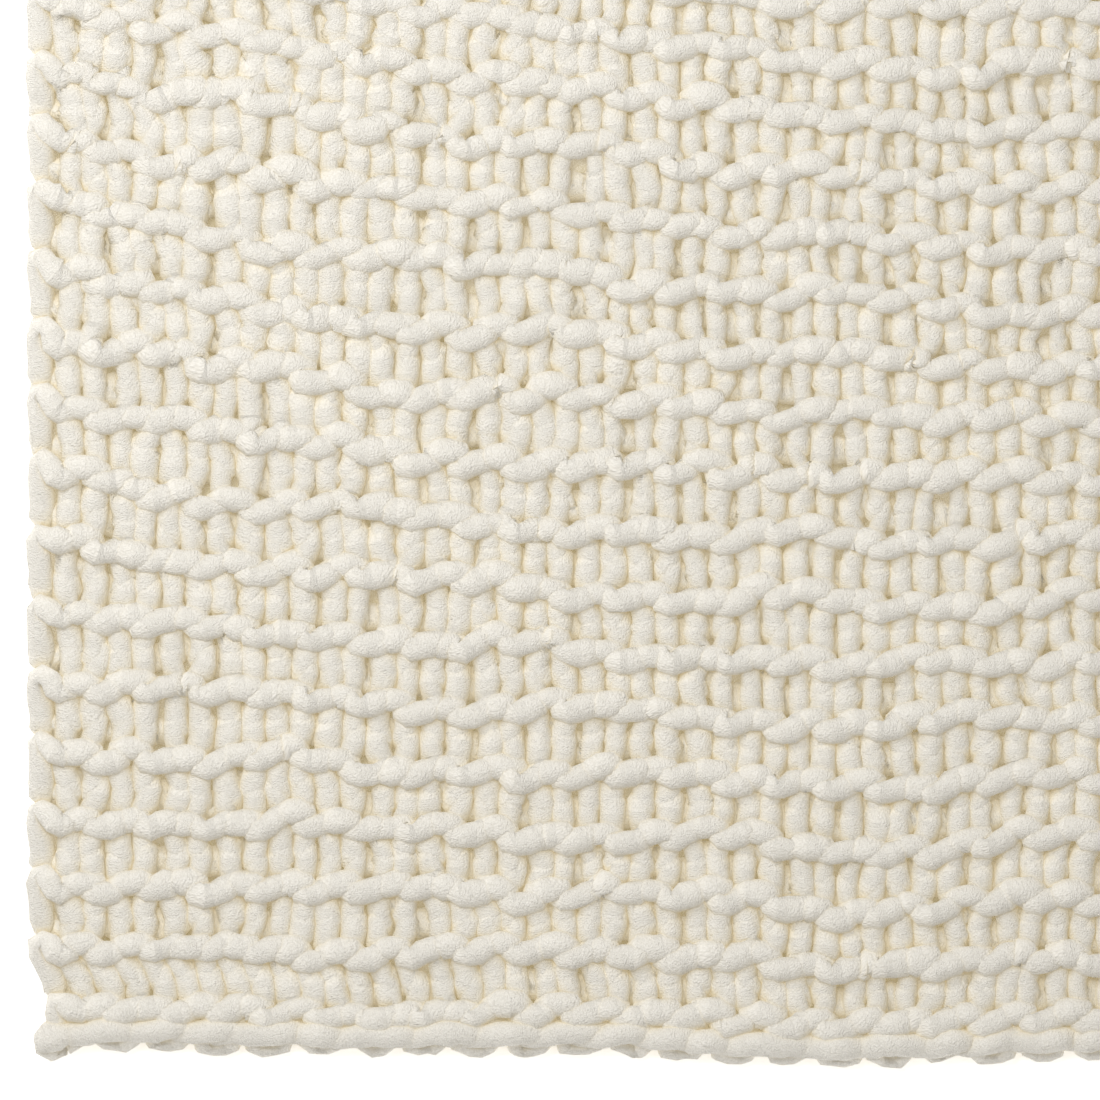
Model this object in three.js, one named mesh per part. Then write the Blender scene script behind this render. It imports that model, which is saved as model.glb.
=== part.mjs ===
// Chunky garter-stitch blanket, lying flat: one cloth knitted from one thick chenille yarn.
// Millimetres, +Z up. Across the knitting rows is X, along the wales is Y, the floor is Z = 0.
import * as THREE from 'three';

// Knit gauge
const STITCH_WIDTH = 28.6;
const RIDGE_PITCH = 32.3;
const STITCHES = 31;
const RIDGES = 29;

// Borders: the rolled side edges, and the plain chains cast on below and bound off above
const SELVAGE = 14;
const CHAIN_DEPTH = 22.8;

const WIDTH = STITCHES * STITCH_WIDTH + 2 * SELVAGE;
const LENGTH = (RIDGES - 1) * RIDGE_PITCH + 2 * CHAIN_DEPTH;

// Heights above the floor
const RIM = 8;
const EDGE_ROLL = 20;
const EDGE_DIP = 16;
const CREST = 27;
const VALLEY = 22;

// How the rows lie: they bow up towards the left side, most at BOW_PEAK along it, and sway a little
const BOW_LIFT = 76;
const BOW_REACH = 600;
const BOW_PEAK = 597;
const BOW_LEFT = 38;
const SWAYS = [
  { lift: 2.5, across: 534, along: 447, phase: 4.13 },
  { lift: 1.1, across: 182, along: 141, phase: 1.22 },
];
const UNEVEN_HEIGHT = 0.9;

// Edge shapes: one scallop for each ridge at the sides and for each chain link above and below
const SIDE_SCALLOP = 1.4;
const CHAIN_SCALLOP = 1.6;
const CHAIN_LINK = 36;
const SAG = [
  { at: 0, drop: 0 },
  { at: 130, drop: 0.5 },
  { at: 200, drop: 3 },
  { at: 300, drop: 1.5 },
  { at: 440, drop: 8.5 },
  { at: 590, drop: 4.5 },
  { at: 760, drop: 2 },
  { at: WIDTH, drop: 0 },
];

// The four corners draw in where the chains are tighter than the knitting, then end in a knob
const CORNER_TUCK = 10;
const TUCK_START = 25;
const TUCK_LENGTH = 35;
const KNOB_REACH = 7;
const KNOB_SIZE = 16;

const smooth = (t) => THREE.MathUtils.smoothstep(t, 0, 1);

// Depth of the wavy chain at a distance from the left side, eased from one row of the table to the next
function sagAt(across) {
  const next = Math.max(1, SAG.findIndex((row) => row.at >= across));
  const before = SAG[next - 1];
  const after = SAG[next];
  const share = smooth((across - before.at) / (after.at - before.at));
  return THREE.MathUtils.lerp(before.drop, after.drop, share);
}

const scallop = (along, pitch, depth) => depth * Math.abs(Math.sin((Math.PI * along) / pitch));

// How far a side edge stands in from its straight line, measured from the lower or upper corner
function sideInset(along) {
  const fromCorner = Math.min(along, LENGTH - along);
  const tuck = CORNER_TUCK * (1 - smooth((fromCorner - TUCK_START) / TUCK_LENGTH));
  const knob = KNOB_REACH * (1 - smooth((fromCorner - KNOB_SIZE / 2) / (KNOB_SIZE / 2)));
  return tuck - knob - scallop(along - CHAIN_DEPTH + RIDGE_PITCH / 2, RIDGE_PITCH, SIDE_SCALLOP);
}

// Lift of the rows at the left side: nothing at the lower edge, BOW_LIFT at the peak,
// BOW_LEFT at the upper edge
function bowAt(along) {
  const below = Math.min(along / BOW_PEAK, 1);
  const above = Math.max((along - BOW_PEAK) / (LENGTH - BOW_PEAK), 0);
  const rise = BOW_LIFT * Math.sin((Math.PI / 2) * below) ** 2;
  return rise - (BOW_LIFT - BOW_LEFT) * Math.sin((Math.PI / 2) * above) ** 2;
}

// How far the rows are lifted from straight lines
function rowLift(across, along) {
  const acrossShare = Math.max(0, 1 - across / BOW_REACH) ** 2;
  const sway = SWAYS.reduce((sum, wave) => {
    const turn = 2 * Math.PI * (across / wave.across + along / wave.along);
    return sum + wave.lift * Math.sin(turn + wave.phase);
  }, 0);
  return bowAt(along) * acrossShare + sway * Math.sin((Math.PI * along) / LENGTH);
}

// Place of a point of the cloth, given by its distance across and along the flat knitting
function lie(across, along) {
  const acrossShare = across / WIDTH;
  const alongShare = along / LENGTH;
  const inset = sideInset(along);
  const chain = sagAt(across) + scallop(across, CHAIN_LINK, CHAIN_SCALLOP);
  const x = across - WIDTH / 2 + inset * (1 - 2 * acrossShare);
  const y = along - LENGTH / 2 - chain * (1 - 2 * alongShare) + rowLift(across, along);
  return new THREE.Vector2(x, y);
}

// Lines across the cloth: the lower chain, crest and valley of each ridge, the upper chain
function lengthwiseProfile() {
  const lines = [
    { at: 0, height: RIM },
    { at: 8, height: EDGE_ROLL },
    { at: 16, height: EDGE_DIP },
  ];
  for (let ridge = 0; ridge < RIDGES; ridge += 1) {
    const at = CHAIN_DEPTH + ridge * RIDGE_PITCH;
    lines.push({ at, height: CREST });
    if (ridge < RIDGES - 1) lines.push({ at: at + RIDGE_PITCH / 2, height: VALLEY });
  }
  lines.push({ at: LENGTH - 16, height: EDGE_DIP });
  lines.push({ at: LENGTH - 8, height: EDGE_ROLL });
  lines.push({ at: LENGTH, height: RIM });
  return lines;
}

// Lines along the cloth: the rolled sides and two lines for each stitch
function crosswiseProfile() {
  const lines = [
    { at: 0, height: RIM },
    { at: SELVAGE / 2, height: EDGE_ROLL },
  ];
  for (let half = 0; half <= 2 * STITCHES; half += 1) {
    lines.push({ at: SELVAGE + (half * STITCH_WIDTH) / 2, height: CREST });
  }
  lines.push({ at: WIDTH - SELVAGE / 2, height: EDGE_ROLL });
  lines.push({ at: WIDTH, height: RIM });
  return lines;
}

// The top follows both profiles, the rim runs straight down to the flat underside
function blanketGeometry() {
  const rows = lengthwiseProfile();
  const columns = crosswiseProfile();
  const positions = [];
  const indices = [];
  const topIndex = (row, column) => row * columns.length + column;

  for (const row of rows) {
    for (const column of columns) {
      const { x, y } = lie(column.at, row.at);
      const height = Math.min(row.height, column.height);
      const uneven = height > RIM ? UNEVEN_HEIGHT * Math.sin(x / 41) * Math.cos(y / 53) : 0;
      positions.push(x, y, height + uneven);
    }
  }
  for (let row = 0; row < rows.length - 1; row += 1) {
    for (let column = 0; column < columns.length - 1; column += 1) {
      const a = topIndex(row, column);
      const b = topIndex(row, column + 1);
      const c = topIndex(row + 1, column + 1);
      const d = topIndex(row + 1, column);
      indices.push(a, b, c, a, c, d);
    }
  }

  const lastRow = rows.length - 1;
  const lastColumn = columns.length - 1;
  const rim = [];
  for (let column = 0; column < lastColumn; column += 1) rim.push(topIndex(0, column));
  for (let row = 0; row < lastRow; row += 1) rim.push(topIndex(row, lastColumn));
  for (let column = lastColumn; column > 0; column -= 1) rim.push(topIndex(lastRow, column));
  for (let row = lastRow; row > 0; row -= 1) rim.push(topIndex(row, 0));

  const firstBelow = positions.length / 3;
  const outline = rim.map((index) => new THREE.Vector2(positions[3 * index], positions[3 * index + 1]));
  for (const { x, y } of outline) positions.push(x, y, 0);
  rim.forEach((above, step) => {
    const nextStep = (step + 1) % rim.length;
    const below = firstBelow + step;
    const nextBelow = firstBelow + nextStep;
    indices.push(above, below, nextBelow, above, nextBelow, rim[nextStep]);
  });
  for (const [a, b, c] of THREE.ShapeUtils.triangulateShape(outline, [])) {
    indices.push(firstBelow + a, firstBelow + c, firstBelow + b);
  }

  const geometry = new THREE.BufferGeometry();
  geometry.setAttribute('position', new THREE.Float32BufferAttribute(positions, 3));
  geometry.setIndex(indices);
  geometry.computeVertexNormals();
  return geometry;
}

// Origin at the middle of the underside's bounding rectangle
function centreOnFloor(geometry) {
  geometry.computeBoundingBox();
  const middle = geometry.boundingBox.getCenter(new THREE.Vector3());
  geometry.translate(-middle.x, -middle.y, 0);
  return geometry;
}

const ivoryChenille = new THREE.MeshStandardMaterial({ color: 0xefe9db, roughness: 0.95, metalness: 0 });

const blanket = new THREE.Mesh(centreOnFloor(blanketGeometry()), ivoryChenille);
blanket.name = 'blanket';

const object = new THREE.Group();
object.add(blanket);

export default object;
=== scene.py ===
"""Chunky garter-stitch blanket of ivory chenille yarn, lying flat on a pale floor.

The blanket is one yarn that travels back and forth in courses of interlocked loops. Its centre line is
worked out in millimetres on the flat knitting, laid down with the same bow and wavy edges as the CAD part,
and given a round piled body. The meshes are in metres.
"""
import math

import bpy
import numpy as np
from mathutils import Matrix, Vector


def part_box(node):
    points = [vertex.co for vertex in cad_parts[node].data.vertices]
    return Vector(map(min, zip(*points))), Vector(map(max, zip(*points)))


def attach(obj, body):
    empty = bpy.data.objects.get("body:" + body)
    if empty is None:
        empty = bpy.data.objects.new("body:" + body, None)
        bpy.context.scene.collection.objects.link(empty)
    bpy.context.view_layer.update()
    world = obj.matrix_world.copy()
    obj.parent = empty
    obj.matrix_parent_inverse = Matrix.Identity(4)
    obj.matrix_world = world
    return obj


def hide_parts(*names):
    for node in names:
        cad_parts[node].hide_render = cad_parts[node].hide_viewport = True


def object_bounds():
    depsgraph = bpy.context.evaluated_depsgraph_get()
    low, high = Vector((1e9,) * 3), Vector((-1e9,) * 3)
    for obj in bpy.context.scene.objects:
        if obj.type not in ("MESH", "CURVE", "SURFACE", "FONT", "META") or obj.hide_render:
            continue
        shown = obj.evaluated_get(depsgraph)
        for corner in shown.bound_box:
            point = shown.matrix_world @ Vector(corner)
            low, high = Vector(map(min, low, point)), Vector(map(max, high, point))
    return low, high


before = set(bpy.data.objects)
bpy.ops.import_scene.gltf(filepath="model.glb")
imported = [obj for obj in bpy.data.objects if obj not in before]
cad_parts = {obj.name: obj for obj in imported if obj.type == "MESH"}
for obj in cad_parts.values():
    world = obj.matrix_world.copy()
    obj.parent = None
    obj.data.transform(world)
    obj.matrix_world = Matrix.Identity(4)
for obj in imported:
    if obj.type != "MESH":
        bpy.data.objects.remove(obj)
CAD_LOW, CAD_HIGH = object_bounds()

MM = 0.001

# Knit gauge and borders, in millimetres, as in the CAD part
STITCH_WIDTH = 28.6
RIDGE_PITCH = 32.3
STITCHES = 31
RIDGES = 29
SELVAGE = 14.0
CHAIN_DEPTH = 22.8
WIDTH = STITCHES * STITCH_WIDTH + 2 * SELVAGE
LENGTH = (RIDGES - 1) * RIDGE_PITCH + 2 * CHAIN_DEPTH
COURSE = RIDGE_PITCH / 2

# How the cloth lies, in millimetres, as in the CAD part. A sway has a lift, a wave length across, a wave
# length along and a phase.
BOW_LIFT, BOW_REACH, BOW_PEAK, BOW_LEFT = 76.0, 600.0, 597.0, 38.0
SWAYS = ((2.5, 534.0, 447.0, 4.13), (1.1, 182.0, 141.0, 1.22))
SAG_AT = (0.0, 130.0, 200.0, 300.0, 440.0, 590.0, 760.0, WIDTH)
SAG_DROP = (0.0, 0.5, 3.0, 1.5, 8.5, 4.5, 2.0, 0.0)
SIDE_SCALLOP, CHAIN_SCALLOP, CHAIN_LINK = 1.4, 1.6, 36.0
CORNER_TUCK, TUCK_START, TUCK_LENGTH = 10.0, 25.0, 35.0
KNOB_REACH, KNOB_SIZE = 7.0, 16.0

# Slow wandering of the stitches, in millimetres: a sum of waves that fades out near the edges
WANDER_WAVES = 18
WANDER_LENGTHS = (70, 190)
WANDER_ACROSS, WANDER_ALONG = 0.38, 0.62
WANDER_FADE = 70

# Yarn body: thickness in millimetres, its shares upright and sideways, how much of a bend's radius the inner
# side may reach, lumps as shares, and the angles in degrees of the rings of a rounded end
YARN = 13.7
SQUASH, SPREAD = 0.88, 1.01
INNER_SHARE = 0.6
LUMPS, SLOW_LUMPS, SLOW_SPAN = 0.05, 0.05, 5
END_ANGLES = (82, 60, 38, 18)

# Mesh: points in a ring, millimetres between rings, and the millimetres that a radian of bend counts for
SIDES = 12
RING_STEP = 4.3
BEND_WEIGHT = 5.0
UP = (0, 0, 1.0)
TINY = 1e-9

# The courses are shared out in turn over this many pieces, so that each keeps to its share of triangles
PIECES = 5

SEED = 11
PILE_SEED, WANDER_SEED, STRAND_SEED, TWIST_SEED = SEED + 1, SEED + 7, SEED + 40, SEED + 60

# The stitch tables count lengths in UNIT and heights in RELIEF, from the cloth's middle at MID_HEIGHT
UNIT = 0.55
RELIEF = 17.5 * UNIT
MID_HEIGHT = 11.8

# Parts of a stitch, in those measures. Crests are higher than CREST_FROM and legs lower. The foot fades out
# within FOOT_REACH of the course's own ridge. A leg is LEG_LENGTH long and has its full lean from LEAN_REACH
# on. The crown grows with its height. The shoulders are at either side of a crest, above SHOULDER_FROM.
CREST_FROM = 0.3
FOOT_REACH, LEG_LENGTH, LEAN_REACH = 14, 28, 8
CROWN_GAIN, CROWN_LESS = 2.5, 0.4
SHOULDER_AT, SHOULDER_REACH, SHOULDER_FROM = 12, 4, 0.2

# Unevenness of the stitches. Shift and lean are in UNIT, lift and over in RELIEF, the rest are shares.
SHIFT, LIFT, LEAN, OVER, UNEVEN = 2.2, 0.06, 3.0, 0.07, 0.075
LOOSE_MORE, LOOSE_SINK, FULLER, THINNER = 0.5, 0.22, 0.05, 0.03
UNEVEN_LEGS, THINNER_LEGS = 0.06, 0.14

# What the table of unevenness holds for each stitch of each course: normal draws, larger for a share of
# outliers, and none further from 0 than MOST_UNEVEN
TRAITS = 8
CREST_SHIFT, CREST_LIFT, LEAN_LEFT, LEAN_RIGHT, TOP_LIFT, TOP_SHIFT, CREST_GIRTH, LEG_GIRTH = range(TRAITS)
OUTLIERS, OUTLIER_MORE, MOST_UNEVEN = 0.07, 0.9, 1.4

# The knitting grows wilder along the cloth and more open across it, each from a place over a length in
# millimetres. At the right it is less wild by a share, and at the lower edge it is only a share as open.
LOOSE_ALONG = (150, 300)
LOOSE_ACROSS = (120, 320)
WILD_LESS, OPEN_LEAST = 0.55, 0.4

# Courses are numbered from the lower edge. The first and last stand in a little and are thinner. Every course
# starts a little further along than its stitch table says. TURN_UNEVEN is for the columns of TURN.
FIRST, LAST = -1, 2 * (RIDGES - 1)
EDGE_REACH = 4.7
EDGE_THINNER = 0.15
COURSE_START = 2.4
TURN_UNEVEN = (0.4, 1.2, 0.04, 0.02)

# Chains of the two edges: two strands twisted together. Lengths are in millimetres, heights in RELIEF, and
# thickness is a share of YARN.
ROPE_STEP = 5.0
ROPE_LINK = 57 * UNIT
ROPE_OUT, ROPE_SWING = 12.2, 1.0
ROPE_HEIGHT, ROPE_RISE = 0.32, 0.40
ROPE_THICK, ROPE_FULLER = 0.94, 0.04
SECOND_START = 10

# Drift of the two strands together and of each alone: how much, and over how many steps
TWIST_DRIFT, PAIR_DRIFT = (1.6, 11), (1.0, 15)
OUT_DRIFT, RISE_DRIFT, GIRTH_DRIFT = (0.8, 9), (0.8, 9), (0.04, 7)

# The knob at the left end of the first strand, and the thin neck beside it, in millimetres and shares
KNOB_AT, KNOB_OUT, KNOB_RAISED, KNOB_LENGTH = 6.6, 7.7, 3.5, 12
KNOB_THICKER, KNOB_WIDE = 0.30, 5
NECK_THINNER, NECK_AT, NECK_WIDE = 0.30, 12, 4


# ---------------------------------------------------------------- how the cloth lies

def smooth(t):
    t = np.clip(t, 0.0, 1.0)
    return t * t * (3.0 - 2.0 * t)


def scallop(along, pitch, depth):
    return depth * np.abs(np.sin(np.pi * along / pitch))


def sag_at(across):
    at, drop = np.array(SAG_AT), np.array(SAG_DROP)
    after = np.clip(np.searchsorted(at, across), 1, len(at) - 1)
    share = smooth((across - at[after - 1]) / (at[after] - at[after - 1]))
    return drop[after - 1] + (drop[after] - drop[after - 1]) * share


def chain_depth(across):
    """How far the wavy lower chain hangs below a straight line."""
    return sag_at(across) + scallop(across, CHAIN_LINK, CHAIN_SCALLOP)


def side_inset(along):
    corner = np.minimum(along, LENGTH - along)
    tuck = CORNER_TUCK * (1 - smooth((corner - TUCK_START) / TUCK_LENGTH))
    knob = KNOB_REACH * (1 - smooth((corner - KNOB_SIZE / 2) / (KNOB_SIZE / 2)))
    return tuck - knob - scallop(along - CHAIN_DEPTH + RIDGE_PITCH / 2, RIDGE_PITCH, SIDE_SCALLOP)


def bow_at(along):
    below = np.clip(along / BOW_PEAK, 0, 1)
    above = np.clip((along - BOW_PEAK) / (LENGTH - BOW_PEAK), 0, 1)
    rise = BOW_LIFT * np.sin(np.pi / 2 * below) ** 2
    return rise - (BOW_LIFT - BOW_LEFT) * np.sin(np.pi / 2 * above) ** 2


def row_lift(across, along):
    across_share = np.clip(1 - across / BOW_REACH, 0, None) ** 2
    sway = sum(
        lift * np.sin(2 * np.pi * (across / wide + along / long) + phase)
        for lift, wide, long, phase in SWAYS
    )
    return bow_at(along) * across_share + sway * np.sin(np.pi * np.clip(along / LENGTH, 0, 1))


def wander(across, along):
    """Slow unevenness of the hand knitting, fading out at the four edges."""
    rng = np.random.default_rng(WANDER_SEED)
    dx, dy = np.zeros_like(across), np.zeros_like(along)
    for _ in range(WANDER_WAVES):
        way, size = rng.uniform(0, 2 * math.pi), rng.uniform(*WANDER_LENGTHS)
        phase = rng.uniform(0, 2 * math.pi, 2)
        turn = 2 * math.pi * (across * math.cos(way) + along * math.sin(way)) / size
        dx += WANDER_ACROSS * np.sin(turn + phase[0])
        dy += WANDER_ALONG * np.sin(turn + phase[1])
    edge = np.minimum(np.minimum(across, WIDTH - across), np.minimum(along, LENGTH - along))
    fade = smooth(edge / WANDER_FADE)
    return dx * fade, dy * fade


def deepest_chain():
    """Depth of the lower chain where the CAD part's box ends, at the deepest of its stitch lines."""
    lines = SELVAGE + np.arange(2 * STITCHES + 1) * STITCH_WIDTH / 2
    return chain_depth(lines).max()


def lie(across, along):
    """The place on the floor of points of the flat knitting, from the lower edge of the CAD part's box."""
    shift = wander(across, along)
    across, along = across + shift[0], along + shift[1]
    x = across - WIDTH / 2 + side_inset(along) * (1 - 2 * across / WIDTH)
    y = along - chain_depth(across) * (1 - 2 * along / LENGTH) + row_lift(across, along)
    return x, y + deepest_chain() + CAD_LOW[1] / MM


# ---------------------------------------------------------------- the path of the yarn

# One stitch, from the middle of the link on its left to the middle of the link on its right.
# Columns: across from the stitch's middle; 0 near the course's own ridge and 1 near the next; along from
# there; height towards the side of the course's own ridge; thickness as a share of YARN.
# The ridges of the upper face are narrow and those of the lower face wide, so that the legs between the
# upper ridges run on from course to course.
UPPER_RIDGE = np.array([
    (-26, 0, -1.6, 0.62, 1.06),
    (-17.5, 0, 0.6, 0.60, 1.06),
    (-12, 0, 4.4, 0.44, 1.04),
    (-10.8, 0, 10.0, 0.20, 1.00),
    (-12.4, 0, 16.0, 0.14, 1.00),
    (-13, 0, 23.0, 0.14, 1.00),
    (-13, 1, -2.5, 0.14, 1.02),
    (-13, 1, 3.5, 0.08, 1.06),
    (-11.5, 1, 7.6, -0.12, 1.14),
    (-7, 1, 9.2, -0.34, 1.22),
    (0, 1, 8.4, -0.42, 1.26),
    (7, 1, 9.2, -0.36, 1.22),
    (11.8, 1, 8.2, -0.14, 1.14),
    (13.3, 1, 4.0, 0.07, 1.06),
    (13.2, 1, -2.0, 0.14, 1.02),
    (13, 0, 23.0, 0.14, 1.00),
    (12, 0, 16.0, 0.13, 1.00),
    (10.0, 0, 8.6, 0.18, 1.00),
    (9.4, 0, 1.6, 0.40, 1.02),
    (12.2, 0, -2.8, 0.56, 1.05),
    (18, 0, -3.4, 0.62, 1.06),
])
LOWER_RIDGE = np.array([
    (-26, 0, -4.6, 0.46, 1.26),
    (-18, 0, -4.4, 0.43, 1.22),
    (-12.8, 0, -4.0, 0.26, 1.14),
    (-11, 0, 0.6, 0.00, 1.06),
    (-12, 0, 7.0, -0.12, 1.02),
    (-13, 0, 15.0, -0.14, 1.00),
    (-13, 0, 22.0, -0.14, 1.00),
    (-13, 1, -5.0, -0.12, 1.00),
    (-13, 1, -1.0, -0.24, 1.02),
    (-11.4, 1, 3.4, -0.44, 1.05),
    (-6, 1, 5.0, -0.57, 1.07),
    (0, 1, 5.2, -0.60, 1.07),
    (6, 1, 6.2, -0.56, 1.06),
    (11.4, 1, 5.8, -0.42, 1.04),
    (13.6, 1, 1.6, -0.24, 1.02),
    (13.3, 1, -5.0, -0.12, 1.00),
    (13, 0, 22.0, -0.14, 1.00),
    (12.4, 0, 14.0, -0.14, 1.00),
    (10.8, 0, 7.0, -0.12, 1.02),
    (10.4, 0, 0.6, 0.00, 1.06),
    (12.8, 0, -4.2, 0.26, 1.14),
    (18, 0, -4.6, 0.43, 1.22),
])
STITCH = {1.0: UPPER_RIDGE, -1.0: LOWER_RIDGE}

# The turn at a side edge, from the end of one course to the start of the next. Columns: outwards from the
# middle of the edge stitch, along from the lower course's ridge, height towards the upper course's side,
# thickness.
TURN = np.array([
    (34, -7, -0.60, 0.97),
    (40.6, -7, -0.33, 1.03),
    (41, 6, -0.10, 1.06),
    (41, 25, 0.10, 1.06),
    (40.4, 39, 0.29, 1.03),
    (32.5, 37, 0.52, 0.97),
])

# Points that a course borrows from the end of the one before and from the start of the one after, so that
# their splines meet smoothly
BORROW_BEFORE, BORROW_AFTER = 6, 7


def side_of(course):
    """1 where a course's ridge is on the upper face, -1 where it is on the lower."""
    return 1.0 if course % 2 == 0 else -1.0


def spline(knots, values, at):
    """A natural cubic spline through values at knots, read at the places given."""
    h = np.diff(knots)
    n = len(knots)
    slope = np.diff(values, axis=0) / h[:, None]
    system = np.zeros((n, n))
    right = np.zeros_like(values)
    k = np.arange(1, n - 1)
    system[k, k - 1] = h[:-1]
    system[k, k] = 2 * (h[:-1] + h[1:])
    system[k, k + 1] = h[1:]
    right[1:-1] = 6 * np.diff(slope, axis=0)
    system[0, 0] = system[-1, -1] = 1
    bend = np.linalg.solve(system, right)
    i = np.clip(np.searchsorted(knots, at, side="right") - 1, 0, n - 2)
    t = (at - knots[i])[:, None]
    span = h[i][:, None]
    return (
        values[i]
        + t * (slope[i] - span * (2 * bend[i] + bend[i + 1]) / 6)
        + t**2 * bend[i] / 2
        + t**3 * (bend[i + 1] - bend[i]) / (6 * span)
    )


def loose_shares(across, along):
    """How wild the stitches are, most so at the upper left, and how open, most so at the upper right."""
    away = smooth((along - LOOSE_ALONG[0]) / LOOSE_ALONG[1])
    right = smooth((across - LOOSE_ACROSS[0]) / LOOSE_ACROSS[1])
    return float(away * (1 - WILD_LESS * right)), float((OPEN_LEAST + (1 - OPEN_LEAST) * away) * right)


def stitch_points(table, course, stitch):
    """Control points of one stitch on the flat knitting: across, along, height, thickness."""
    side = side_of(course)
    x, level, y, z, thick = STITCH[side].T.copy()
    across = SELVAGE + (stitch + 0.5) * STITCH_WIDTH
    wild, open_share = loose_shares(across, CHAIN_DEPTH + course * COURSE)
    z = z * np.where(side * z > CREST_FROM, 1 - LOOSE_SINK * wild, 1)

    # Unevenness of the course's own ridge here and at the next stitch, and of the ridge above
    row = course - FIRST
    below, beside, above = (
        entry * (1 + LOOSE_MORE * wild)
        for entry in (table[row, stitch], table[row, stitch + 1], table[row + 1, stitch])
    )
    base, top = level == 0, level == 1
    left = x < 0
    foot = np.clip(1 - np.abs(y) / FOOT_REACH, 0, 1) * base
    crown = np.clip(np.abs(z) * CROWN_GAIN - CROWN_LESS, 0, 1) * top
    rise = np.clip(y / LEG_LENGTH, 0, 1) * base + top

    # The legs lean, the crests move along and up, and one shoulder of a loop lies over the other
    near, far = (np.where(left, entry[LEAN_LEFT], entry[LEAN_RIGHT]) for entry in (below, above))
    x = x + LEAN * (near * (1 - rise) * np.clip(y / LEAN_REACH, 0, 1) + far * rise)
    moved, raised, girth = (
        np.where(left, below[trait], beside[trait]) for trait in (CREST_SHIFT, CREST_LIFT, LEG_GIRTH)
    )
    y = y + SHIFT * (foot * moved + crown * above[TOP_SHIFT])
    z = z + LIFT * (foot * raised - crown * above[TOP_LIFT])
    shoulder = np.clip(1 - np.abs(np.abs(x) - SHOULDER_AT) / SHOULDER_REACH, 0, 1)
    shoulder = shoulder * (np.abs(z) > SHOULDER_FROM)
    z = z + OVER * shoulder * np.where(left, 1, -1) * np.where(base, below[TOP_LIFT], above[TOP_LIFT])

    # Where the knitting is open, the legs are thinner and more uneven
    uneven = np.where(np.abs(z) > CREST_FROM, below[CREST_GIRTH], girth)
    open_leg = open_share * (np.abs(z) < CREST_FROM)
    thick = thick * (1 + (UNEVEN + UNEVEN_LEGS * open_leg) * uneven)
    thick = thick * (1 + FULLER * wild - THINNER * open_share - THINNER_LEGS * open_leg)
    along = CHAIN_DEPTH + (course + level) * COURSE + y * UNIT
    if course == FIRST:
        along, thick = along + EDGE_REACH * foot, thick * (1 - EDGE_THINNER * base)
    if course == LAST:
        along, thick = along - EDGE_REACH * top, thick * (1 - EDGE_THINNER * top)
    return np.stack([across + x * UNIT, along, side * z * RELIEF, thick], 1)


def link_end(course):
    """The last point of a course, where it leaves the last stitch on the right."""
    side = side_of(course)
    x, _, y, z, thick = STITCH[side][0]
    across = SELVAGE + (STITCHES - 0.5) * STITCH_WIDTH - x * UNIT
    along = CHAIN_DEPTH + course * COURSE + y * UNIT
    return np.array([[across, along, side * z * RELIEF, thick]])


def turn_points(rng, course):
    """From the end of a course to the start of the next, at the left edge after odd courses."""
    at_left = course % 2 != 0
    x, y, z, thick = (TURN + rng.normal(size=TURN.shape) * TURN_UNEVEN).T
    half = STITCH_WIDTH / 2
    across = SELVAGE + half - x * UNIT if at_left else WIDTH - SELVAGE - half + x * UNIT
    along = CHAIN_DEPTH + course * COURSE + y * UNIT
    return np.stack([across, along, -side_of(course) * z * RELIEF, thick], 1)


def knit_path():
    """Control points of every course in the order of knitting, each with the turn that follows it."""
    rng = np.random.default_rng(SEED)
    shape = (LAST - FIRST + 2, STITCHES + 1)
    table = rng.normal(size=shape + (TRAITS,)) * (1 + OUTLIER_MORE * (rng.random(shape + (1,)) < OUTLIERS))
    table = np.clip(table, -MOST_UNEVEN, MOST_UNEVEN)
    courses = []
    for course in range(FIRST, LAST + 1):
        stitches = [stitch_points(table, course, i) for i in range(STITCHES)]
        points = np.vstack(stitches + [link_end(course)])
        if course % 2 != 0:
            points = points[::-1]
        points[0, 1] += COURSE_START
        courses.append(points)
    turns = [turn_points(rng, course) for course in range(FIRST, LAST)]
    return courses, turns


def course_line(courses, turns, k):
    """The smooth centre line of the course at index k, up to where the next one starts."""
    before = np.vstack([courses[k - 1][-BORROW_BEFORE:], turns[k - 1]]) if k else np.zeros((0, 4))
    own = [courses[k]]
    after = np.zeros((0, 4))
    if k < len(turns):
        own.append(turns[k])
        after = courses[k + 1][:BORROW_AFTER]
    own = np.vstack(own)
    first = len(before)
    last = first + len(own) - (0 if len(after) else 1)
    return smooth_line(np.vstack([before, own, after]), first, last)


def smooth_line(points, first, last):
    """A spline through the points from index first to last, with more places where it bends.

    Returns the places, and places just before and just after each of them.
    """
    samples_each, nudge = 12, 0.02
    chord = np.linalg.norm(np.diff(points[:, :3], axis=0), axis=1) ** 0.5
    knots = np.concatenate([[0.0], np.cumsum(chord)])
    dense = np.linspace(knots[first], knots[last], (last - first) * samples_each)
    steps = np.diff(spline(knots, points, dense)[:, :3], axis=0)
    lengths = np.linalg.norm(steps, axis=1)
    ways = steps / lengths[:, None]
    turn = np.linalg.norm(np.diff(ways, axis=0), axis=1)
    turn = np.concatenate([turn[:1], turn])
    weight = np.concatenate([[0.0], np.cumsum(lengths + BEND_WEIGHT * turn)])
    total = weight[-1] / (1 + BEND_WEIGHT * turn.sum() / lengths.sum())
    count = int(round(total / RING_STEP))
    at = np.interp(np.linspace(0, weight[-1], count + 1), weight, dense)
    return [spline(knots, points, at + shift) for shift in (0, -nudge, nudge)]


# ---------------------------------------------------------------- edge chains

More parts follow.
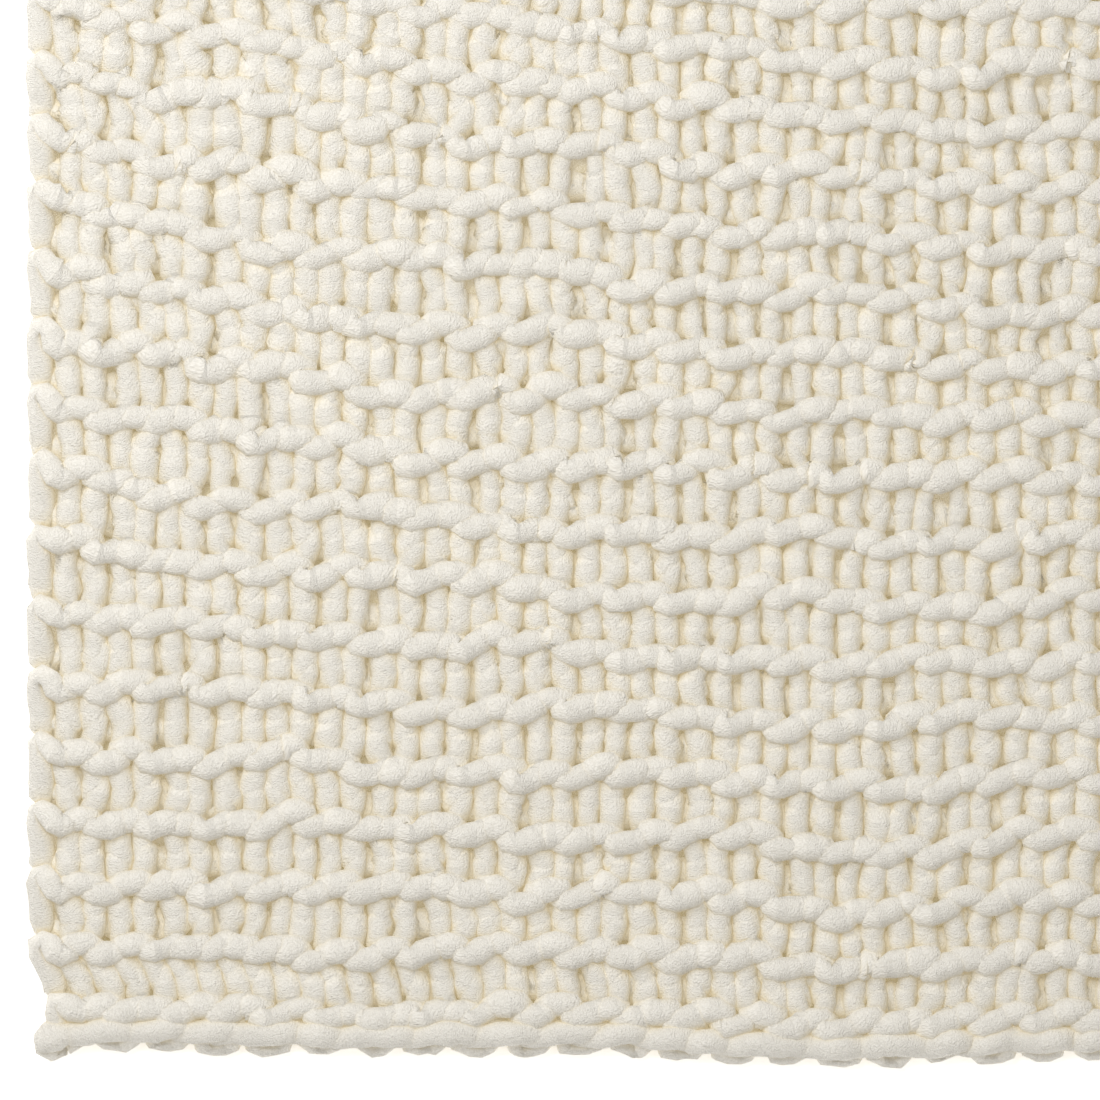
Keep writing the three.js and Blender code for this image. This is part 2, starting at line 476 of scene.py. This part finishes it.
def drifting(rng, count, drift):
    """Slow random unevenness, mostly within the drift's size either way."""
    size, span = drift
    bell = np.hanning(span + 2)
    rough = np.convolve(rng.normal(size=count + 2 * span - 2), bell[1:-1], mode="valid")
    return size * ((rough / math.sqrt((bell ** 2).sum()))[:count] / 2)


def rope(lower, which):
    """The line of one of the two strands along the lower or upper edge. The first starts with a knob."""
    edge = 0 if lower else 1
    own = np.random.default_rng(STRAND_SEED + 2 * edge + which)
    both = np.random.default_rng(TWIST_SEED + edge)
    across = np.arange(KNOB_AT + SECOND_START * which, WIDTH - KNOB_AT, ROPE_STEP)
    count = len(across)
    turn = math.pi * across / ROPE_LINK + drifting(both, count, TWIST_DRIFT) + math.pi * which
    swing = ROPE_SWING * np.sin(turn) * (1 if lower else -1)
    out = ROPE_OUT + swing + drifting(both, count, PAIR_DRIFT) + drifting(own, count, OUT_DRIFT)
    height = RELIEF * (ROPE_HEIGHT + ROPE_RISE * np.cos(turn)) + drifting(own, count, RISE_DRIFT)
    thick = ROPE_THICK + ROPE_FULLER * np.cos(turn) + drifting(own, count, GIRTH_DRIFT)
    if which == 0:
        from_end = across - KNOB_AT
        thick = thick + KNOB_THICKER * np.exp(-((from_end / KNOB_WIDE) ** 2))
        thick = thick - NECK_THINNER * np.exp(-(((from_end - NECK_AT) / NECK_WIDE) ** 2))
        knob = 1 - smooth(from_end / KNOB_LENGTH)
        out = out + (KNOB_OUT - out) * knob
        height = height * (1 - knob) + KNOB_RAISED * knob
    along = out if lower else LENGTH - out
    points = np.stack([across, along, height, thick], 1)
    return smooth_line(points, 0, count - 1)


# ---------------------------------------------------------------- yarn body

def laid(lines):
    """The line on the floor, and its tangents."""
    placed = []
    for line in lines:
        x, y = lie(line[:, 0], line[:, 1])
        placed.append(np.stack([x, y, line[:, 2] + MID_HEIGHT, line[:, 3]], 1))
    tangents = placed[2][:, :3] - placed[1][:, :3]
    return placed[0], tangents / np.linalg.norm(tangents, axis=1)[:, None]


def level_normal(tangent):
    """The normal of a line that lies level with the floor."""
    normal = np.cross(tangent, UP)
    return normal / np.linalg.norm(normal)


def frames(tangents):
    """Two normals along a line, turned evenly so that the first of them is level at both ends."""
    normals = np.zeros_like(tangents)
    normal = level_normal(tangents[0])
    for i, tangent in enumerate(tangents):
        normal = normal - tangent * normal.dot(tangent)
        normal /= np.linalg.norm(normal)
        normals[i] = normal
    binormals = np.cross(tangents, normals)
    wanted = level_normal(tangents[-1])
    twist = math.atan2(wanted.dot(binormals[-1]), wanted.dot(normals[-1]))
    angle = np.linspace(0, twist, len(tangents))[:, None]
    turned = np.cos(angle) * normals + np.sin(angle) * binormals
    return turned, np.cross(tangents, turned)


def lumps(rng, rings):
    """Uneven thickness of the pile round the yarn, as a share of the radius.

    A lump spreads by half to the next point round the yarn and to the next ring.
    """
    rough = rng.normal(size=(rings, SIDES))
    soft = rough + np.roll(rough, 1, axis=1) / 2
    soft[1:] += rough[:-1] / 2
    slow = np.convolve(rng.normal(size=rings + SLOW_SPAN - 1), np.ones(SLOW_SPAN) / SLOW_SPAN, mode="valid")
    return 1 + LUMPS * soft + SLOW_LUMPS * slow[:, None]


def uncrossed(centres, tangents, rings):
    """Draws the inner side of a tight bend in towards the centre line, so that rings don't cross."""
    run = np.linalg.norm(np.diff(centres, axis=0), axis=1)
    bend = np.zeros_like(tangents)
    bend[1:-1] = (tangents[2:] - tangents[:-2]) / (run[1:] + run[:-1])[:, None]
    tight = np.linalg.norm(bend, axis=1)
    inward = bend / np.maximum(tight, TINY)[:, None]
    tight[1:-1] = np.maximum(tight[1:-1], np.maximum(tight[:-2], tight[2:]))
    reach = np.einsum("ijk,ik->ij", rings, inward)
    most = (INNER_SHARE / np.maximum(tight, TINY))[:, None]
    over = np.maximum(reach - most, 0)
    return rings - over[..., None] * inward[:, None]


def rounded(centres, tangents, radius):
    """Adds a rounded end before the first ring."""
    lift = np.radians(END_ANGLES)
    extra = centres[0] - tangents[0] * (radius[0] * np.sin(lift))[:, None]
    return (
        np.vstack([extra, centres]),
        np.vstack([np.tile(tangents[0], (len(lift), 1)), tangents]),
        np.concatenate([radius[0] * np.cos(lift), radius]),
    )


def strand(rng, line, round_start, round_end):
    """Rings of points round a laid line, their places on a straight yarn, and the length run at each.

    A start or end that isn't rounded is a flat cut, and meets the one of the course before or after.
    """
    places, tangents = line
    centres, radius = places[:, :3], YARN / 2 * places[:, 3]
    if round_start:
        centres, tangents, radius = rounded(centres, tangents, radius)
    if round_end:
        turned = rounded(centres[::-1], -tangents[::-1], radius[::-1])
        centres, tangents, radius = turned[0][::-1], -turned[1][::-1], turned[2][::-1]
    across, up = frames(tangents)
    turn = np.linspace(0, 2 * math.pi, SIDES, endpoint=False)
    rim = np.cos(turn)[None, :, None] * across[:, None] + np.sin(turn)[None, :, None] * up[:, None]
    swell = lumps(rng, len(centres))
    swell[0] = swell[-1] = 1.0
    rings = (radius[:, None] * swell)[..., None] * rim * (SPREAD, SPREAD, SQUASH)
    rings = centres[:, None] + uncrossed(centres, tangents, rings)
    rings[..., 2] = np.maximum(rings[..., 2], 0.0)  # flattened on the floor
    run = np.concatenate([[0.0], np.cumsum(np.linalg.norm(np.diff(centres, axis=0), axis=1))])
    straight = np.stack([
        np.broadcast_to(np.cos(turn) * YARN / 2, (len(run), SIDES)),
        np.broadcast_to(np.sin(turn) * YARN / 2, (len(run), SIDES)),
        np.broadcast_to(run[:, None], (len(run), SIDES)),
    ], -1)
    return {"rings": rings, "straight": straight, "run": run}


# ---------------------------------------------------------------- meshes

# Bake map: a lane is a little wider than the yarn's round and a little longer than its share of the yarn.
# The rest are shares: of a lane the margin at its left, its width, the gap below it and its height, and of a
# slot the reach of an end's disc.
LANE_SPARE, LANE_LONGER = 1.08, 1.0001
LANE_MARGIN, LANE_WIDTH, LANE_GAP, LANE_HEIGHT = 0.04, 0.92, 0.002, 0.99
DISC_REACH = 0.4


def wall_faces(offset, rings):
    """Four-sided faces between the rings of a strand whose first point has the index offset."""
    side = np.arange(SIDES)
    after = (side + 1) % SIDES
    ring = np.arange(rings - 1)[:, None] * SIDES + offset
    corners = [ring + side, ring + after, ring + SIDES + after, ring + SIDES + side]
    return np.stack(corners, -1).reshape(-1, 4)


def wall_map(run, start, lane_length, slots):
    """Bake map of those faces: the piece's whole length of yarn is cut into upright lanes side by side."""
    side = np.arange(SIDES)
    place = (start + run) / lane_length
    lane = np.floor(place[:-1] + TINY)
    left = (lane[:, None] + LANE_MARGIN + LANE_WIDTH * side / SIDES) / slots
    right = (lane[:, None] + LANE_MARGIN + LANE_WIDTH * (side + 1) / SIDES) / slots
    low, high = (
        np.broadcast_to(((end - lane) * LANE_HEIGHT + LANE_GAP)[:, None], left.shape)
        for end in (place[:-1], place[1:])
    )
    return np.stack([left, low, right, low, right, high, left, high], -1).reshape(-1, 2)


def end_map(number, ends, slots):
    """Bake map of one strand end: a disc in the last slot."""
    turn = 2 * math.pi * np.arange(SIDES) / SIDES
    reach = min(DISC_REACH / slots, DISC_REACH / ends)
    return np.stack([
        (slots - 0.5) / slots + reach * np.cos(turn),
        (number + 0.5) / ends + reach * np.sin(turn),
    ], 1)


def mesh_of(name, points, straight, loops, sizes, uv):
    mesh = bpy.data.meshes.new(name)
    mesh.vertices.add(len(points))
    mesh.vertices.foreach_set("co", points.astype(np.float32).ravel())
    mesh.loops.add(len(loops))
    mesh.loops.foreach_set("vertex_index", loops.astype(np.int32))
    mesh.polygons.add(len(sizes))
    starts = np.concatenate([[0], np.cumsum(sizes)[:-1]])
    mesh.polygons.foreach_set("loop_start", starts.astype(np.int32))
    mesh.polygons.foreach_set("use_smooth", np.ones(len(sizes), bool))
    mesh.update(calc_edges=True)
    layer = mesh.uv_layers.new(name="OFBake")
    layer.data.foreach_set("uv", uv.astype(np.float32).ravel())
    own = mesh.attributes.new("yarn", "FLOAT_VECTOR", "POINT")
    own.data.foreach_set("vector", straight.astype(np.float32).ravel())
    return mesh


def sharpen_rims(mesh, rims):
    """Marks the edges of the strand ends as sharp."""
    scale = len(mesh.vertices) + 1
    wanted = np.sort(np.stack([rims, np.roll(rims, -1, axis=1)], -1).reshape(-1, 2), axis=1)
    edges = np.empty(len(mesh.edges) * 2, np.int32)
    mesh.edges.foreach_get("vertices", edges)
    edges = np.sort(edges.reshape(-1, 2), axis=1).astype(np.int64)
    is_sharp = np.isin(edges[:, 0] * scale + edges[:, 1], wanted[:, 0] * scale + wanted[:, 1])
    sharp = mesh.attributes.new("sharp_edge", "BOOLEAN", "EDGE")
    sharp.data.foreach_set("value", is_sharp)


def yarn_object(name, strands, material):
    """One mesh of closed strands, with a bake map of straight lanes and the yarn's own coordinates."""
    total = sum(s["run"][-1] for s in strands)
    lanes = max(1, int(math.ceil(math.sqrt(total / (math.pi * YARN * LANE_SPARE)))))
    lane_length = total / lanes * LANE_LONGER
    slots, ends = lanes + 1, 2 * len(strands)
    points, straight, walls, wall_uv, rims, rim_uv = [], [], [], [], [], []
    start, offset = 0.0, 0
    side = np.arange(SIDES)
    for s in strands:
        count = len(s["run"])
        points.append(s["rings"].reshape(-1, 3))
        straight.append((s["straight"] + (0, 0, start)).reshape(-1, 3))
        walls.append(wall_faces(offset, count))
        wall_uv.append(wall_map(s["run"], start, lane_length, slots))
        for rim in (offset + side[::-1], offset + (count - 1) * SIDES + side):
            rim_uv.append(end_map(len(rims), ends, slots))
            rims.append(rim)
        start += s["run"][-1]
        offset += count * SIDES
    walls = np.vstack(walls)
    mesh = mesh_of(
        name,
        np.vstack(points) * MM,
        np.vstack(straight) * MM,
        np.concatenate([walls.ravel()] + rims),
        np.concatenate([np.full(len(walls), 4), np.full(len(rims), SIDES)]),
        np.vstack(wall_uv + rim_uv),
    )
    sharpen_rims(mesh, np.stack(rims))
    mesh.validate()
    mesh.materials.append(material)
    piece = bpy.data.objects.new(name, mesh)
    bpy.context.collection.objects.link(piece)
    return piece


# ---------------------------------------------------------------- materials

# How far openness looks, in metres, and the colours of the pile with its painted crease shade, of its glow
# and of the floor with its painted shade
CREASE_REACH, FLOOR_REACH = 0.011, 0.025
PILE_TONE_AND_SHADE = (0.77, 0.732, 0.655, 1)
PILE_TONE_AND_HIGHLIGHT = (0.87, 0.833, 0.762, 1)
PILE_CREASE_SHADE = (0.65, 0.59, 0.455, 1)
GLOW_OPEN = (0.13, 0.124, 0.112, 1)
GLOW_CREASE = (0.25, 0.214, 0.142, 1)
GLOW_INSIDE = (0.55, 0.51, 0.43, 1)
FLOOR_OPEN, FLOOR_PAINTED_SHADE = (0.98, 0.98, 0.98, 1), (0.40, 0.34, 0.19, 1)
FLOOR_GLOW_OPEN, FLOOR_GLOW_SHADED = (0.6, 0.6, 0.6, 1), (0.18, 0.152, 0.085, 1)

# Openness at which each painted shade or glow starts and is full
PILE_SHADE_RANGE, CREASE_GLOW_RANGE, FLOOR_SHADE_RANGE = (0.74, 0.22), (0.95, 0.20), (0.50, 0.28)

# How much finer the pile's marks are along the yarn, and the tufts' share of the relief and of the colour
TUFT_STRETCH, FUZZ_STRETCH = 1.6, 2.8
TUFT_RELIEF, TUFT_COLOUR = 0.35, 0.5


def node(material, kind, sockets, **settings):
    """The outputs of a new node, its sockets set to values or linked to other nodes' outputs."""
    made = material.node_tree.nodes.new(kind)
    for name, value in settings.items():
        setattr(made, name, value)
    plug(material, made, sockets)
    return made.outputs


def plug(material, target, sockets):
    for name, value in sockets.items():
        if isinstance(value, bpy.types.NodeSocket):
            material.node_tree.links.new(value, target.inputs[name])
        else:
            target.inputs[name].default_value = value


def openness(material, reach):
    """1 where nothing stands within reach of a place, less in crevices."""
    return node(material, "ShaderNodeAmbientOcclusion", {"Distance": reach}, samples=2)["AO"]


def blended(material, share, first, second):
    """A colour that goes from the first to the second as share goes from 0 to 1."""
    sockets = {"Factor": share, "A": first, "B": second}
    return node(material, "ShaderNodeMix", sockets, data_type="RGBA")["Result"]


def painted_crevice_shading(material, sky, shade_range, open_colour, shut_colour):
    """A colour that goes from open_colour to shut_colour as openness falls through the given range: shade or
    light painted by how shut in a place is.
    """
    sockets = {"Value": sky, "From Min": shade_range[0], "From Max": shade_range[1]}
    crease = node(material, "ShaderNodeMapRange", sockets)["Result"]
    return blended(material, crease, open_colour, shut_colour)


def weighed(material, first, second, first_share):
    """The sum of two textures in their shares, which add up to 1."""
    parts = [
        node(material, "ShaderNodeMath", {0: part, 1: share}, operation="MULTIPLY")[0]
        for part, share in ((first, first_share), (second, 1 - first_share))
    ]
    return node(material, "ShaderNodeMath", {0: parts[0], 1: parts[1]}, operation="ADD")[0]


def pile_texture(material, kind, stretch, sockets):
    """A texture on the straight yarn, squeezed along it so that its marks lie round the yarn."""
    own = node(material, "ShaderNodeAttribute", {}, attribute_name="yarn")["Vector"]
    vector = node(material, "ShaderNodeMapping", {"Vector": own, "Scale": (1, 1, stretch)})["Vector"]
    return node(material, kind, {"Vector": vector, **sockets})


def new_material(name):
    material = bpy.data.materials.new(name)
    material.use_nodes = True
    material.cycles.emission_sampling = "NONE"
    return material, material.node_tree.nodes["Principled BSDF"]


def chenille():
    """Matt ivory pile. Its glow stands in for the light that pile passes on into creases and folds.

    The inside of a strand's wall glows most: it shows only where a tight fold has turned it out.
    """
    material, shader = new_material("chenille")
    spots = pile_texture(material, "ShaderNodeTexVoronoi", TUFT_STRETCH, {"Scale": 900})["Distance"]
    tufts = node(material, "ShaderNodeMath", {0: 1.0, 1: spots}, operation="SUBTRACT")[0]
    noise = {"Scale": 420, "Detail": 4, "Roughness": 0.65}
    fuzz = pile_texture(material, "ShaderNodeTexNoise", FUZZ_STRETCH, noise)["Fac"]
    relief = weighed(material, tufts, fuzz, TUFT_RELIEF)
    bump = node(material, "ShaderNodeBump", {"Height": relief, "Strength": 1.0, "Distance": 0.0018})

    # Pile tone: it varies at random with the tufts and fuzz, and it is darker in the hollows of the bump
    # relief and lighter on its tips. That is partly the pile's own tone and partly painted shade and painted
    # highlight.
    ramp = material.node_tree.nodes.new("ShaderNodeValToRGB")
    dark, light = ramp.color_ramp.elements
    dark.position, dark.color = 0.35, PILE_TONE_AND_SHADE
    light.position, light.color = 0.62, PILE_TONE_AND_HIGHLIGHT
    plug(material, ramp, {"Fac": weighed(material, tufts, fuzz, TUFT_COLOUR)})

    # Painted shade: the pile turns a darker tan in crevices, where shade falls, and its glow rises there as
    # painted light
    sky = openness(material, CREASE_REACH)
    shaded_pile = painted_crevice_shading(material, sky, PILE_SHADE_RANGE, ramp.outputs["Color"], PILE_CREASE_SHADE)
    glow = painted_crevice_shading(material, sky, CREASE_GLOW_RANGE, GLOW_OPEN, GLOW_CREASE)
    inside = node(material, "ShaderNodeNewGeometry", {})["Backfacing"]
    glow = blended(material, inside, glow, GLOW_INSIDE)
    plug(material, shader, {
        "Base Color": shaded_pile,
        "Roughness": 0.92,
        "Specular IOR Level": 0.15,
        "Sheen Weight": 0.25,
        "Sheen Roughness": 0.55,
        "Sheen Tint": (1.0, 0.97, 0.90, 1.0),
        "Emission Color": glow,
        "Emission Strength": 1.0,
        "Normal": bump["Normal"],
    })
    return material


def pale_floor():
    """White and evenly bright by its own glow; tan and dimmer where it is shut in under the cloth and shows
    through the stitches, which is painted shade.
    """
    material, shader = new_material("floor")
    sky = openness(material, FLOOR_REACH)
    # Painted shade: a tan base and less glow where the floor is shut in under the cloth
    plug(material, shader, {
        "Base Color": painted_crevice_shading(material, sky, FLOOR_SHADE_RANGE, FLOOR_OPEN, FLOOR_PAINTED_SHADE),
        "Roughness": 0.9,
        "Specular IOR Level": 0.1,
        "Emission Color": painted_crevice_shading(material, sky, FLOOR_SHADE_RANGE, FLOOR_GLOW_OPEN, FLOOR_GLOW_SHADED),
        "Emission Strength": 1.0,
    })
    return material


# ---------------------------------------------------------------- surroundings

def camera():
    """Straight above the lower left part of the blanket, far off with a long lens."""
    seen = 0.605  # metres across the frame at the middle of the cloth's thickness
    from_left, from_low = 0.2862, 0.2853
    data = bpy.data.cameras.new("camera")
    data.lens = 400.0
    data.sensor_width = 36.0
    data.clip_end = 200.0
    low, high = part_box("blanket")
    eye = bpy.data.objects.new("camera", data)
    above = MID_HEIGHT * MM + seen * data.lens / data.sensor_width
    eye.location = (low.x + from_left, low.y + from_low, above)
    bpy.context.collection.objects.link(eye)
    bpy.context.scene.camera = eye


def floor():
    reach = 30.0
    mesh = bpy.data.meshes.new("floor")
    corners = [(-reach, -reach, 0), (reach, -reach, 0), (reach, reach, 0), (-reach, reach, 0)]
    mesh.from_pydata(corners, [], [(0, 1, 2, 3)])
    mesh.materials.append(pale_floor())
    ground = bpy.data.objects.new("floor", mesh)
    bpy.context.collection.objects.link(ground)


def square_light(name, place, size, power, tilt=0.0, yaw=0.0):
    data = bpy.data.lights.new(name, "AREA")
    data.size = size
    data.energy = power
    data.color = (0.975, 0.985, 1.0)
    lamp = bpy.data.objects.new(name, data)
    lamp.location = place
    lamp.rotation_euler = (0, tilt, yaw)
    bpy.context.collection.objects.link(lamp)


def lights():
    """Soft light from all round, a square light overhead, and one at the upper left aimed at the middle."""
    world = bpy.data.worlds.new("studio")
    bpy.context.scene.world = world
    world.use_nodes = True
    background = world.node_tree.nodes["Background"]
    background.inputs["Color"].default_value = (1.0, 0.99, 0.97, 1)
    background.inputs["Strength"].default_value = 0.43
    square_light("top", (-0.5, 0.28, 2.2), size=0.4, power=16.0)
    x, y, z = -1.1, 0.8, 1.4
    tilt, yaw = math.atan2(math.hypot(x, y), z), math.atan2(y, x)
    square_light("key", (x, y, z), size=0.9, power=15.0, tilt=tilt, yaw=yaw)


# ---------------------------------------------------------------- the blanket

def blanket():
    """The courses, shared out in turn over the knit pieces, and the chains of the two edges."""
    material = chenille()
    courses, turns = knit_path()
    rng = np.random.default_rng(PILE_SEED)
    groups = [[] for _ in range(PIECES)]
    for k in range(len(courses)):
        line = laid(course_line(courses, turns, k))
        groups[k % PIECES].append(strand(rng, line, k == 0, k == len(courses) - 1))
    pieces = [yarn_object(f"knit_{k + 1}", group, material) for k, group in enumerate(groups)]
    ropes = [
        strand(rng, laid(rope(lower, which)), True, True)
        for lower in (True, False) for which in (0, 1)
    ]
    pieces.append(yarn_object("edge_chains", ropes, material))
    for piece in pieces:
        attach(piece, "root")
        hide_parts("blanket")


bpy.context.scene.view_settings.view_transform = "Standard"
camera()
floor()
lights()
blanket()
